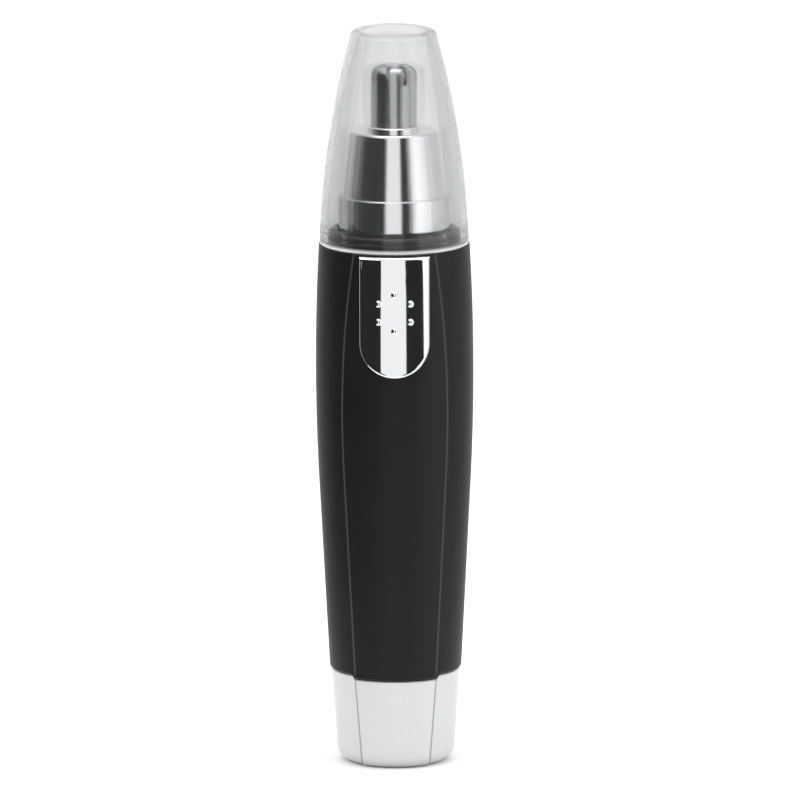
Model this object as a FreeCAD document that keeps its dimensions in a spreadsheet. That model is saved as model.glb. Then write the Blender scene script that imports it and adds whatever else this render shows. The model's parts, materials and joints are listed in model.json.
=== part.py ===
import FreeCAD, Part
import math
import os
import re

import Sketcher
from FreeCAD import Vector

# A pocket nose hair trimmer, in millimetres. It stands on its base cap with the cutter up: +Z is up, the
# thumb switch faces -Y, and the origin is the middle of the base cap's foot.
#
# The base cap holds the battery spring and pulls off downwards. The handle holds the battery, the motor and
# the thumb switch. The motor turns a blade inside a slotted cutter tube. The head, a chromed cone on a grip
# ring, screws off the neck on three helical grooves, and a clear dust cap pushes over it.

DIMENSIONS = [
    # Outlines of the handle and of its front and rear panels: an arc about the widest point, straight below
    ("barrel_half", 14.35),
    ("barrel_peak_z", 73.0),
    ("barrel_arc", 400.0),
    ("barrel_straight_z", 52.0),
    ("panel_half", 9.6),
    ("panel_peak_z", 66.0),
    ("panel_arc", 200.0),
    ("panel_straight_z", 56.0),
    ("panel_rise", 0.35),
    ("panel_edge", 0.28),
    ("shoulder_z", 95.65),
    ("shell_wall", 1.75),
    ("shell_mouth_radius", 12.0),
    ("shell_mouth_depth", 3.6),
    # Joint between the base cap and the handle, lower across the panels
    ("seam_z", 17.15),
    ("seam_step", 0.6),
    ("seam_slant", 0.45),
    ("seam_gap", 0.18),
    ("seam_edge", 0.3),
    # Base cap and what it holds
    ("base_top_radius", 11.74),
    ("base_foot_radius", 10.72),
    ("base_corner", 3.0),
    ("base_edge", 0.18),
    ("base_panel_foot_half", 6.1),
    ("base_bore_radius", 9.96),
    ("base_floor", 2.0),
    ("plug_radius", 9.92),
    ("plug_bore_radius", 7.65),
    ("plug_top_z", 22.5),
    ("socket_radius", 10.0),
    ("socket_top_z", 23.4),
    ("base_ring_z", 19.4),
    ("base_ring_radius", 9.52),
    ("base_ring_wire", 0.45),
    ("plate_thickness", 0.4),
    ("plate_radius", 9.0),
    ("leg_near", 7.9),
    ("leg_width", 3.0),
    ("leg_top_z", 22.9),
    ("spring_radius", 5.2),
    ("spring_wire", 0.4),
    ("spring_rise", 4.6),
    ("spring_pitch", 1.53),
    # AA battery, plus end up
    ("battery_z", 8.0),
    ("battery_length", 50.5),
    ("battery_radius", 7.0),
    ("battery_corner", 0.55),
    ("button_radius", 2.7),
    ("button_height", 1.3),
    ("can_skin", 0.25),
    ("jacket_gap", 0.02),
    ("jacket_thickness", 0.2),
    ("jacket_margin", 0.7),
    # Sleeve round the battery and cradle round the motor
    ("sleeve_radius", 8.7),
    ("sleeve_bottom_z", 24.0),
    ("cradle_bottom_z", 60.0),
    ("cradle_floor", 2.0),
    ("cradle_radius", 11.3),
    ("cradle_top_z", 91.5),
    ("channel_depth", 8.7),
    ("channel_half", 3.8),
    # Motor
    ("motor_bottom_z", 66.5),
    ("motor_top_z", 91.4),
    ("motor_radius", 10.05),
    ("motor_flat", 7.55),
    ("motor_gap", 0.1),
    ("endcap_height", 4.7),
    ("can_wall", 0.8),
    ("boss_radius", 3.1),
    ("boss_height", 1.6),
    ("shaft_radius", 1.0),
    ("shaft_gap", 0.03),
    ("shaft_bottom_z", 67.8),
    ("shaft_top_z", 101.15),
    ("bearing_radius", 2.2),
    ("magnet_radius", 9.1),
    ("magnet_bore_radius", 6.7),
    ("magnet_bottom_z", 74.0),
    ("magnet_height", 14.0),
    ("core_radius", 6.5),
    ("core_bottom_z", 77.0),
    ("core_height", 9.0),
    ("winding_overhang", 1.8),
    ("commutator_radius", 2.3),
    ("commutator_bottom_z", 69.4),
    ("commutator_height", 4.2),
    # Contacts, all of one thickness of strip
    ("strip_near", 8.75),
    ("strip_thickness", 0.3),
    ("strip_outer", 3.4),
    ("strip_inner", 0.6),
    ("strip_width", 0.8),
    ("pad_bottom_z", 84.0),
    ("pad_top_z", 88.0),
    ("terminal_x", 5.5),
    ("terminal_bottom_z", 64.6),
    ("lead_radius", 0.45),
    # Thumb switch
    ("thumb_half", 6.38),
    ("thumb_top_z", 95.5),
    ("thumb_bottom_z", 73.3),
    ("thumb_gap", 0.16),
    ("thumb_thickness", 1.15),
    ("thumb_edge", 0.7),
    ("bump_ring", 3.3),
    ("bump_radius", 0.74),
    ("bump_height", 0.34),
    ("bump_ring_z", 85.45),
    ("stem_half", 1.6),
    ("stem_bottom_z", 82.5),
    ("stem_height", 5.0),
    ("slot_half", 1.68),
    ("slot_bottom_z", 82.2),
    ("slot_height", 8.2),
    ("carrier_near", 9.5),
    ("carrier_far", 11.9),
    ("carrier_half", 3.2),
    ("carrier_bottom_z", 76.0),
    ("carrier_top_z", 88.8),
    # Neck
    ("collar_radius", 12.0),
    ("collar_top_z", 98.45),
    ("collar_edge", 0.35),
    ("neck_flange_radius", 11.85),
    ("neck_flange_z", 93.05),
    ("neck_radius", 8.3),
    ("neck_bore_radius", 5.0),
    ("neck_top_z", 103.65),
    ("cap_ring_z", 97.05),
    ("cap_ring_radius", 11.72),
    ("cap_ring_wire", 0.42),
    ("screw_x", 4.7),
    ("screw_y", 8.55),
    ("screw_radius", 0.8),
    ("screw_head_radius", 1.15),
    ("screw_head_height", 1.0),
    ("screw_head_z", 96.05),
    ("screw_length", 9.0),
    ("screw_gap", 0.1),
    # Head: three studs on the neck run in three helical grooves in the grip ring
    ("stud_radius", 0.8),
    ("stud_reach", 9.0),
    ("stud_z", 101.85),
    ("groove_lead", 16.0),
    ("groove_drop", 4.4),
    ("groove_over", 0.262),
    ("groove_half", 0.92),
    ("groove_radius", 9.1),
    ("washer_thickness", 0.35),
    ("washer_radius", 10.45),
    ("ring_bottom_z", 98.9),
    ("ring_top_z", 104.85),
    ("ring_radius", 10.15),
    ("ring_bore_radius", 8.38),
    ("ring_edge", 0.3),
    ("seat_depth", 0.6),
    ("seat_gap", 0.04),
    ("cone_foot_radius", 9.38),
    ("cone_top_radius", 8.05),
    ("cone_top_z", 116.65),
    ("cone_corner", 0.7),
    ("cone_wall", 1.0),
    ("cone_roof", 1.2),
    ("lip_radius", 4.72),
    ("lip_height", 0.75),
    # Cutter tube and blade
    ("tube_radius", 4.2),
    ("tube_wall", 0.4),
    ("tube_top_z", 128.35),
    ("tube_dome", 1.75),
    ("tube_fit", 0.05),
    ("tube_flange_radius", 5.6),
    ("tube_flange_thickness", 0.6),
    ("bush_height", 3.0),
    ("bush_bore_radius", 3.6),
    ("slit_count", 8.0),
    ("slit_half", 0.38),
    ("slit_start", 1.35),
    ("slit_depth", 3.2),
    ("slit_turn", 29.0),
    ("blade_gap", 0.08),
    ("blade_half_thickness", 0.35),
    ("blade_bottom_z", 117.25),
    ("blade_hub_radius", 2.1),
    ("rod_radius", 1.5),
    ("rod_top_z", 122.15),
    ("carrier_sleeve_radius", 3.0),
    ("carrier_sleeve_bottom_z", 101.85),
    ("carrier_sleeve_top_z", 107.65),
    ("spring_seat_radius", 4.0),
    ("coupling_radius", 2.5),
    ("coupling_bottom_z", 96.25),
    ("coupling_shoulder_z", 100.65),
    ("dog_top_z", 105.45),
    ("dog_half", 1.35),
    ("dog_gap", 0.12),
    ("blade_spring_radius", 3.25),
    ("blade_spring_wire", 0.22),
    # Dust cap
    ("dust_rim_radius", 13.6),
    ("dust_waist_radius", 11.95),
    ("dust_waist_z", 114.25),
    ("dust_brow_radius", 7.95),
    ("dust_brow_z", 133.6),
    ("dust_flat_radius", 6.7),
    ("dust_top_z", 135.0),
    ("dust_bore_radius", 12.2),
    ("dust_bore_top_z", 99.25),
    ("dust_wall", 1.3),
    ("dust_seat_gap", 0.08),
]

FUNCTIONS = {"sqrt", "sin", "cos"}
NAME = re.compile(r"[a-z][a-z_]*")

doc = FreeCAD.newDocument("nose_hair_trimmer")
sheet = doc.addObject("Spreadsheet::Sheet", "dims")
for row, (alias, size) in enumerate(DIMENSIONS, 1):
    sheet.set(f"A{row}", alias)
    sheet.set(f"B{row}", str(size))
    sheet.setAlias(f"B{row}", alias)
doc.recompute()


# ---- Helpers: expressions name the sheet's cells, and every size is bound to one ----


def bound(expression):
    """The expression with each name pointing at its cell in the sheet."""

    def cell(found):
        return found.group() if found.group() in FUNCTIONS else "dims." + found.group()

    return NAME.sub(cell, str(expression))


def number(expression):
    """What the expression is worth now, as a plain number."""
    return float(sheet.evalExpression(bound(expression)))


def bind(thing, **sizes):
    """Ties each named property of a document object to its expression."""
    for name, expression in sizes.items():
        thing.setExpression(name, bound(expression))
    return thing


def primitive(kind, label, at=("0", "0", "0"), **sizes):
    """A Part primitive, such as Cylinder, with its corner or foot at a point."""
    made = doc.addObject("Part::" + kind, label)
    bind(made, **sizes)
    for axis, expression in zip("xyz", at):
        made.setExpression("Placement.Base." + axis, bound(expression))
    return made


def block(label, across, deep, up):
    """A box given by its (low, high) expressions along X, Y and Z."""
    lows = [low for low, high in (across, deep, up)]
    spans = [f"({high}) - ({low})" for low, high in (across, deep, up)]
    return primitive("Box", label, lows, Length=spans[0], Width=spans[1], Height=spans[2])


def cylinder(label, radius, low, high, at=("0", "0")):
    """An upright cylinder between two heights."""
    return primitive("Cylinder", label, (*at, low), Radius=radius, Height=f"({high}) - ({low})")


def fuse(label, *shapes):
    made = doc.addObject("Part::MultiFuse", label)
    made.Shapes = list(shapes)
    return made


def common(label, *shapes):
    made = doc.addObject("Part::MultiCommon", label)
    made.Shapes = list(shapes)
    return made


def group(label, *shapes):
    """Several separate solids in one node."""
    made = doc.addObject("Part::Compound", label)
    made.Links = list(shapes)
    return made


def cut(label, base, *tools):
    made = doc.addObject("Part::Cut", label)
    made.Base = base
    made.Tool = tools[0] if len(tools) == 1 else fuse(label + "_tools", *tools)
    return made


def turned(shape, degrees):
    """The shape turned about the Z axis."""
    turn = FreeCAD.Placement(Vector(), FreeCAD.Rotation(Vector(0, 0, 1), degrees))
    shape.Placement = turn * shape.Placement
    return shape


def new_body(label):
    return doc.addObject("PartDesign::Body", label)


def new_sketch(body, role, name, offset="0"):
    """An empty sketch on one of the body's own planes, moved along the plane's normal by an offset."""
    sketch = body.newObject("Sketcher::SketchObject", name)
    plane = next(feature for feature in body.Origin.OriginFeatures if feature.Role == role)
    sketch.AttachmentSupport = [(plane, "")]
    sketch.MapMode = "FlatFace"
    sketch.setExpression("AttachmentOffset.Base.z", bound(offset))
    return sketch


def pin_point(sketch, geometry, end, across, up):
    """Fixes one end of a sketch line at a place given by two expressions."""
    for kind, expression, axis in (("DistanceX", across, -2), ("DistanceY", up, -1)):
        value = number(expression)
        if abs(value) < 1e-9:
            sketch.addConstraint(Sketcher.Constraint("PointOnObject", geometry, end, axis))
            continue
        index = sketch.addConstraint(Sketcher.Constraint(kind, -1, 1, geometry, end, value))
        sketch.setExpression(f"Constraints[{index}]", bound(expression))


def arc_through(first, middle, last):
    """An arc of a sketch, which always runs anticlockwise, and whether it starts at the first point."""
    found = Part.Circle(first, middle, last)
    forward = (middle - first).cross(last - middle).z > 0
    ends = (first, last) if forward else (last, first)
    angles = [math.atan2(end.y - found.Center.y, end.x - found.Center.x) for end in ends]
    circle = Part.Circle(found.Center, Vector(0, 0, 1), found.Radius)
    return Part.ArcOfCircle(circle, *angles), forward


def outline(body, role, name, corners, offset="0"):
    """A closed sketch through corners, each (across, up). A corner ("via", across, up) isn't a corner: it
    makes the stretch between its neighbours an arc that passes through it."""
    sketch = new_sketch(body, role, name, offset)
    stops, vias = [], {}
    for corner in corners:
        if corner[0] == "via":
            vias[len(stops) - 1] = corner[1:]
        else:
            stops.append(corner)
    places = [Vector(number(across), number(up), 0) for across, up in stops]
    starts = []
    for index, place in enumerate(places):
        following = places[(index + 1) % len(places)]
        if index in vias:
            middle = Vector(number(vias[index][0]), number(vias[index][1]), 0)
            arc, forward = arc_through(place, middle, following)
            starts.append((sketch.addGeometry(arc), 1 if forward else 2))
        else:
            starts.append((sketch.addGeometry(Part.LineSegment(place, following)), 1))
    for index, (line, end) in enumerate(starts):
        next_line, next_end = starts[(index + 1) % len(starts)]
        sketch.addConstraint(Sketcher.Constraint("Coincident", line, 3 - end, next_line, next_end))
        pin_point(sketch, line, end, *stops[index])
    for index, (across, up) in vias.items():
        point = sketch.addGeometry(Part.Point(Vector(number(across), number(up), 0)), True)
        sketch.addConstraint(Sketcher.Constraint("PointOnObject", point, 1, starts[index][0]))
        pin_point(sketch, point, 1, across, up)
    return sketch


def ring_sketch(body, role, name, radius, across, up):
    """A sketch of one circle."""
    sketch = new_sketch(body, role, name)
    circle = Part.Circle(Vector(number(across), number(up), 0), Vector(0, 0, 1), number(radius))
    line = sketch.addGeometry(circle)
    index = sketch.addConstraint(Sketcher.Constraint("Radius", line, number(radius)))
    sketch.setExpression(f"Constraints[{index}]", bound(radius))
    pin_point(sketch, line, 3, across, up)
    return sketch


def feature(body, kind, name, profile, **settings):
    """A PartDesign feature made from a sketch."""
    made = body.newObject("PartDesign::" + kind, name)
    made.Profile = profile
    for setting, value in settings.items():
        setattr(made, setting, value)
    return made


def revolved(label, corners):
    """A body turned about Z from a half section whose corners are (radius, height)."""
    body = new_body(label)
    sketch = outline(body, "XZ_Plane", label + "_section", corners)
    feature(body, "Revolution", label + "_turn", sketch, ReferenceAxis=(sketch, ["V_Axis"]), Angle=360)
    return body


def extruded(label, role, corners, low, high):
    """A body padded from an outline on an origin plane, from low to high along the plane's normal."""
    body = new_body(label)
    sketch = outline(body, role, label + "_outline", corners, low)
    bind(feature(body, "Pad", label + "_pad", sketch), Length=f"({high}) - ({low})")
    return body


def repeated(body, name, original, count):
    """The original feature repeated evenly about Z."""
    pattern = body.newObject("PartDesign::PolarPattern", name)
    axis = next(feature for feature in body.Origin.OriginFeatures if feature.Role == "Z_Axis")
    pattern.Originals = [original]
    pattern.Axis = (axis, [""])
    pattern.Angle = 360
    pattern.Occurrences = count
    body.Tip = pattern
    return pattern


def ring_corners(inner, outer, low, high):
    """The four corners of a plain ring's half section."""
    return [(inner, low), (outer, low), (outer, high), (inner, high)]


def coil(label, radius, wire, low, rise, pitch):
    """A spring of round wire, whose wire's middle climbs by the rise."""
    body = new_body(label)
    sketch = ring_sketch(body, "XZ_Plane", label + "_wire", wire, radius, low)
    axis = (sketch, ["V_Axis"])
    helix = feature(body, "AdditiveHelix", label + "_coil", sketch, ReferenceAxis=axis, Mode=0)
    bind(helix, Pitch=pitch, Height=rise)
    return body


# ---- Shared outlines ----


def curved(shape, height):
    """Half-width of the barrel or panel outline on its arc."""
    return f"({shape}_half - {shape}_arc + sqrt({shape}_arc^2 - ({height} - {shape}_peak_z)^2))"


def straight(shape, height):
    """Half-width of the barrel or panel outline on the straight below its arc, which it leaves smoothly."""
    drop = f"({shape}_peak_z - {shape}_straight_z)"
    slope = f"({drop} / sqrt({shape}_arc^2 - {drop}^2))"
    return f"({curved(shape, shape + '_straight_z')} - ({shape}_straight_z - ({height})) * {slope})"


def barrel_side(low, high, extra):
    """Corners up the side of the handle between two heights, at a distance outside its round surface."""
    middle = f"(({high}) + barrel_straight_z) / 2"
    return [
        (straight("barrel", low) + f" + {extra}", low),
        (straight("barrel", "barrel_straight_z") + f" + {extra}", "barrel_straight_z"),
        ("via", curved("barrel", middle) + f" + {extra}", middle),
        (curved("barrel", high) + f" + {extra}", high),
    ]


def panel_prism(label, low, high):
    """Everything in front of and behind the front panel's outline, between two heights."""
    middle = f"(({high}) + panel_straight_z) / 2"
    right = [
        (straight("panel", low), low),
        (straight("panel", "panel_straight_z"), "panel_straight_z"),
        ("via", curved("panel", middle), middle),
        (curved("panel", high), high),
    ]
    return extruded(label, "XZ_Plane", right + mirrored(right), "0 - 20", "20")


def mirrored(corners):
    """The corners again on the other side of the centre line, in turning-back order."""
    other = []
    for corner in reversed(corners):
        other.append((*corner[:-2], f"0 - ({corner[-2]})", corner[-1]))
    return other


def panel_edges(label, shape, size):
    """The shape with its long panel edges chamfered: those that climb along the panel's outline."""
    doc.recompute()
    chosen = []
    for index, edge in enumerate(shape.Shape.Edges, 1):
        box = edge.BoundBox
        climbs = box.ZLength > 5
        beside = min(abs(box.XMin), abs(box.XMax)) > 5
        middle = edge.valueAt((edge.FirstParameter + edge.LastParameter) / 2)
        radius = math.hypot(middle.x, middle.y)
        outer = radius > number("base_foot_radius")
        if climbs and beside and outer and abs(middle.y) > 5:
            chosen.append((index, size, size))
    made = doc.addObject("Part::Chamfer", label)
    made.Base = shape
    made.Edges = chosen
    return made


# ---- Base cap and battery ----


def base_form(label, extra, top):
    """The base cap's outside as a solid."""
    corner = f"base_corner * {1 - math.sqrt(0.5)}"
    return revolved(
        label,
        [
            ("0", "0"),
            (f"base_foot_radius - base_corner + {extra}", "0"),
            ("via", f"base_foot_radius - {corner} + {extra}", corner),
            (f"base_foot_radius + {extra}", "base_corner"),
            (f"base_top_radius + {extra}", top),
            ("0", top),
        ],
    )


def seam_notch(label, inset, low):
    """The stretch of the joint line that dips across the panels, as a prism from front to back."""
    half = straight("panel", "seam_z")
    right = [
        (f"{half} - {inset}", low),
        (f"{half} + seam_slant - {inset}", f"{low} + seam_step"),
        (f"{half} + seam_slant - {inset}", "seam_z + 3"),
    ]
    return extruded(label, "XZ_Plane", right + mirrored(right), "0 - 20", "20")


def base_cap():
    prism = extruded(
        "base_panel_prism",
        "XZ_Plane",
        [
            ("base_panel_foot_half", "0"),
            (straight("panel", "seam_z"), "seam_z"),
            (f"0 - {straight('panel', 'seam_z')}", "seam_z"),
            ("0 - base_panel_foot_half", "0"),
        ],
        "0 - 20",
        "20",
    )
    panels = common("base_panels", base_form("base_panel_form", "panel_rise", "seam_z"), prism)
    panels = panel_edges("base_panels_edged", panels, number("panel_edge"))
    body = fuse("base_solid", base_form("base_form", "0", "seam_z"), panels)
    notch = seam_notch("base_notch", "0", "seam_z - seam_step")
    rounded = rim_edges("base_rounded", cut("base_notched", body, notch), number("base_edge"))
    bore = cylinder("base_bore", "base_bore_radius", "base_floor", "seam_z + 5")
    return cut("base_cap", rounded, bore)


def rim_edges(label, shape, size):
    """The shape with the outer edges of its top rim chamfered, along the sides and the two dips."""
    doc.recompute()
    chosen = []
    for index, edge in enumerate(shape.Shape.Edges, 1):
        middle = edge.valueAt((edge.FirstParameter + edge.LastParameter) / 2)
        high = edge.BoundBox.ZMin > number("seam_z - seam_step") - 0.01
        outer = math.hypot(middle.x, middle.y) > number("base_top_radius") - 0.1
        if high and outer:
            chosen.append((index, size, size))
    made = doc.addObject("Part::Chamfer", label)
    made.Base = shape
    made.Edges = chosen
    return made


def base_plug():
    groove = "base_ring_radius - base_ring_wire - 0.05"
    ring = revolved(
        "plug_ring",
        [
            ("plug_bore_radius", "base_floor + plate_thickness + 0.05"),
            ("plug_radius", "base_floor + plate_thickness + 0.05"),
            ("plug_radius", "base_ring_z - base_ring_wire - 0.05"),
            (groove, "base_ring_z - base_ring_wire - 0.05"),
            (groove, "base_ring_z + base_ring_wire + 0.05"),
            ("plug_radius", "base_ring_z + base_ring_wire + 0.05"),
            ("plug_radius", "plug_top_z - 0.6"),
            ("plug_radius - 0.6", "plug_top_z"),
            ("plug_bore_radius", "plug_top_z"),
        ],
    )
    slot = block(
        "plug_slot",
        ("0 - leg_width / 2 - 0.25", "leg_width / 2 + 0.25"),
        ("0 - leg_near - plate_thickness - 0.2", "0 - leg_near + 0.9"),
        ("base_floor", "plug_top_z + 1"),
    )
    return cut("base_plug", ring, slot)


def spring_plate():
    disc = cylinder("plate_disc", "plate_radius", "base_floor", "base_floor + plate_thickness")
    leg = block(
        "plate_leg",
        ("0 - leg_width / 2", "leg_width / 2"),
        ("0 - leg_near - plate_thickness", "0 - leg_near"),
        ("base_floor", "leg_top_z"),
    )
    return fuse("spring_plate", disc, leg)


def battery_spring():
    low = "base_floor + plate_thickness + spring_wire + 0.05"
    size = ("spring_radius", "spring_wire", low, "spring_rise", "spring_pitch")
    return coil("battery_spring", *size)


def o_ring(label, radius, wire, height):
    return primitive("Torus", label, ("0", "0", height), Radius1=radius, Radius2=wire)


def battery_can():
    return cut("battery_can", battery_form("can_form", "0"), battery_form("can_hollow", "can_skin"))


def battery_core():
    return battery_form("battery_core", "can_skin + 0.02")


def battery_form(label, inset):
    """The battery's plain cylinder, drawn in all round by an inset."""
    low = f"battery_z + {inset}"
    high = f"battery_z + battery_length - button_height - ({inset})"
    radius = f"battery_radius - ({inset})"
    return revolved(
        label,
        [
            ("0", low),
            (f"{radius} - battery_corner", low),
            (radius, f"{low} + battery_corner"),
            (radius, f"{high} - battery_corner"),
            (f"{radius} - battery_corner", high),
            ("0", high),
        ],
    )


def battery_jacket():
    inner = "battery_radius + jacket_gap"
    low = "battery_z + jacket_margin"
    high = "battery_z + battery_length - button_height - jacket_margin"
    return revolved("battery_jacket", ring_corners(inner, inner + " + jacket_thickness", low, high))


def battery_seal():
    low = "battery_z + battery_length - button_height + 0.02"
    corners = ring_corners("button_radius + 0.3", "battery_radius - 1", low, low + " + 0.25")
    return revolved("battery_seal", corners)


def battery_button():
    low = "battery_z + battery_length - button_height"
    high = "battery_z + battery_length"
    return revolved(
        "battery_button",
        [
            ("0", low),
            ("button_radius", low),
            ("button_radius", f"{high} - 0.4"),
            ("via", "button_radius - 0.12", f"{high} - 0.12"),
            ("button_radius - 0.4", high),
            ("0", high),
        ],
    )


# ---- Handle ----


def body_form(label, extra):
    """The handle's outside as a solid, above the joint with the base cap."""
    low = "seam_z + seam_gap"
    side = barrel_side(f"{low} + seam_edge", "shoulder_z", extra)
    foot = (straight("barrel", low) + f" + {extra} - seam_edge", low)
    return revolved(label, [("0", low), foot, *side, ("0", "shoulder_z")])


def body_shell():
    low = "seam_z - seam_step + seam_gap"
    form = body_form("shell_form", "0")
    proud = body_form("shell_panel_form", "panel_rise")
    prism = panel_prism("shell_panel_prism", "seam_z + seam_gap", "shoulder_z")
    panels = common("shell_panels", proud, prism)
    panels = panel_edges("shell_panels_edged", panels, number("panel_edge"))
    high = "seam_z + seam_gap + seam_edge"
    foot_radius = straight("barrel", high) + " + panel_rise"
    foot = revolved(
        "shell_foot",
        [
            ("0", low),
            (f"{foot_radius} - seam_edge", low),
            (foot_radius, f"{low} + seam_edge"),
            (foot_radius, high),
            ("0", high),
        ],
    )
    tongue = common("shell_tongues", foot, seam_notch("shell_notch", "seam_gap", low))
    solid = fuse("shell_solid", form, panels, tongue)
    inner = "0 - shell_wall"
    cavity = revolved(
        "shell_cavity",
        [
            ("0", "socket_top_z"),
            ("socket_radius", "socket_top_z"),
            (straight("barrel", "socket_top_z + 1") + f" + {inner}", "socket_top_z + 1"),
            *barrel_side("socket_top_z + 1", "shoulder_z - shell_mouth_depth", inner)[1:],
            ("0", "shoulder_z - shell_mouth_depth"),
        ],
    )
    socket = cylinder("shell_socket", "socket_radius", "seam_z - 5", "socket_top_z + 0.01")
    mouth_low = "shoulder_z - shell_mouth_depth - 0.01"
    mouth = cylinder("shell_mouth", "shell_mouth_radius", mouth_low, "shoulder_z + 1")
    slot = block(
        "shell_slot",
        ("0 - slot_half", "slot_half"),
        ("0 - 20", "0 - 8"),
        ("slot_bottom_z", "slot_bottom_z + slot_height"),
    )
    return cut("body_shell", solid, cavity, socket, mouth, slot)


def neck_collar():
    groove = "cap_ring_radius - cap_ring_wire - 0.03"
    half = "cap_ring_wire + 0.05"
    turned_part = revolved(
        "neck_form",
        [
            ("neck_bore_radius", "cradle_top_z + 0.05"),
            ("neck_radius + 0.7", "cradle_top_z + 0.05"),
            ("neck_radius + 0.7", "neck_flange_z"),
            ("neck_flange_radius", "neck_flange_z"),
            ("neck_flange_radius", "shoulder_z"),
            ("collar_radius", "shoulder_z"),
            ("collar_radius", f"cap_ring_z - ({half})"),
            (groove, f"cap_ring_z - ({half})"),
            (groove, f"cap_ring_z + {half}"),
            ("collar_radius", f"cap_ring_z + {half}"),
            ("collar_radius", "collar_top_z - collar_edge"),
            ("collar_radius - collar_edge", "collar_top_z"),
            ("neck_radius", "collar_top_z"),
            ("neck_radius", "neck_top_z - 0.4"),
            ("neck_radius - 0.4", "neck_top_z"),
            ("neck_bore_radius", "neck_top_z"),
        ],
    )
    studs = [neck_stud(turn) for turn in range(3)]
    solid = fuse("neck_solid", turned_part, *studs)
    holes = []
    for name, at in screw_places():
        shank = "screw_radius + screw_gap"
        holes.append(cylinder(f"neck_hole_{name}", shank, "neck_flange_z - 2", "collar_top_z", at))
        head = "screw_head_radius + screw_gap"
        holes.append(cylinder(f"neck_recess_{name}", head, "screw_head_z", "collar_top_z + 1", at))
    return cut("neck_collar", solid, *holes)


def neck_stud(turn):
    """One of the three studs that the grip ring's grooves run on, at the closed end of its groove."""
    angle = math.radians(360 * number("groove_drop / groove_lead") + 120 * turn)
    outward = Vector(math.cos(angle), math.sin(angle), 0)
    start = "(neck_radius - 0.6)"
    place = (f"{start} * {outward.x:.9f}", f"{start} * {outward.y:.9f}", "stud_z")
    size = {"Radius": "stud_radius", "Height": f"stud_reach - {start}"}
    stud = primitive("Cylinder", f"neck_stud_{turn}", place, **size)
    stud.Placement = FreeCAD.Placement(Vector(), FreeCAD.Rotation(Vector(0, 0, 1), outward))
    return stud


def screw_places():
    """The four screws' names and places, either side of the motor's two flats."""
    return [
        ("front_left", ("0 - screw_x", "0 - screw_y")),
        ("front_right", ("screw_x", "0 - screw_y")),
        ("back_left", ("0 - screw_x", "screw_y")),
        ("back_right", ("screw_x", "screw_y")),
    ]


def neck_screws():
    screws = []
    for name, at in screw_places():
        head_top = "screw_head_z + 0.05 + screw_head_height"
        head = cylinder(f"screw_head_{name}", "screw_head_radius", "screw_head_z + 0.05", head_top, at)
        shank_low = "screw_head_z + 0.05 - screw_length"
        shank = cylinder(f"screw_shank_{name}", "screw_radius", shank_low, "screw_head_z + 0.3", at)
        recess_low = f"{head_top} - 0.55"
        bars = [
            block(
                f"screw_cross_{name}_{turn}",
                (f"{at[0]} - {long}", f"{at[0]} + {long}"),
                (f"{at[1]} - {short}", f"{at[1]} + {short}"),
                (recess_low, f"{head_top} + 1"),
            )
            for turn, (long, short) in enumerate([("0.75", "0.17"), ("0.17", "0.75")])
        ]
        screws.append(cut(f"screw_{name}", fuse(f"screw_solid_{name}", head, shank), *bars))
    return group("neck_screws", *screws)


def flatted(label, radius, flat, low, high):
    """A round bar with two flats, front and back, as the motor has."""
    bar = cylinder(label + "_round", radius, low, high)
    slab = block(label + "_slab", ("0 - 20", "20"), (f"0 - ({flat})", flat), (low, high))
    return common(label, bar, slab)


def front_channel(label):
    """The space that the two strips and the switch's slider take, along the front of the inside."""
    span = ("0 - channel_half", "channel_half")
    return block(label, span, ("0 - 20", "0 - channel_depth"), ("0", "shoulder_z"))


def motor_cradle():
    solid = cylinder("cradle_round", "cradle_radius", "cradle_bottom_z", "cradle_top_z")
    pocket = flatted(
        "cradle_pocket",
        "motor_radius + motor_gap",
        "motor_flat + motor_gap",
        "motor_bottom_z - 0.05",
        "cradle_top_z + 1",
    )
    floor = "cradle_bottom_z + cradle_floor"
    room = flatted("cradle_room", "motor_radius - 1", "motor_flat - 0.5", floor, "motor_bottom_z")
    channel = front_channel("cradle_channel")
    window = block(
        "cradle_window", ("1.6", "5.6"), ("0 - 20", "0 - motor_flat + 1.2"), ("63.4", "66")
    )
    tab_slot = block(
        "cradle_tab_slot",
        ("0 - terminal_x - 0.4", "0 - terminal_x + 0.4"),
        ("0 - 1.4", "1.4"),
        ("cradle_bottom_z - 1", "cradle_bottom_z + cradle_floor + 1"),
    )
    threads = []
    for name, at in screw_places():
        threads.append(cylinder(f"cradle_thread_{name}", "screw_radius + 0.02", "85", "100", at))
    return cut("motor_cradle", solid, pocket, room, channel, window, tab_slot, *threads)


def battery_sleeve():
    tube = revolved(
        "sleeve_tube",
        [
            ("plug_bore_radius", "sleeve_bottom_z"),
            ("sleeve_radius", "sleeve_bottom_z"),
            ("sleeve_radius", "cradle_bottom_z - 5"),
            ("cradle_radius - 0.3", "cradle_bottom_z - 2.4"),
            ("cradle_radius - 0.3", "cradle_bottom_z - 0.05"),
            ("plug_bore_radius", "cradle_bottom_z - 0.05"),
        ],
    )
    channel = front_channel("sleeve_channel")
    return cut("battery_sleeve", tube, channel)


def motor_can():
    low = "motor_bottom_z + endcap_height"
    shell = flatted("can_outside", "motor_radius", "motor_flat", low, "motor_top_z")
    boss = cylinder("can_boss", "boss_radius", "motor_top_z - 1", "motor_top_z + boss_height")
    size = ("motor_radius - can_wall", "motor_flat - can_wall", f"{low} - 1", "motor_top_z - can_wall")
    inside = flatted("can_inside", *size)
    seat = cylinder("can_seat", "bearing_radius", "motor_top_z - 5", "motor_top_z + boss_height - 0.4")
    mouth = cylinder("can_mouth", "shaft_radius + 0.5", "motor_top_z - 5", "motor_top_z + boss_height + 1")
    return cut("motor_can", fuse("can_solid", shell, boss), inside, seat, mouth)


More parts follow.
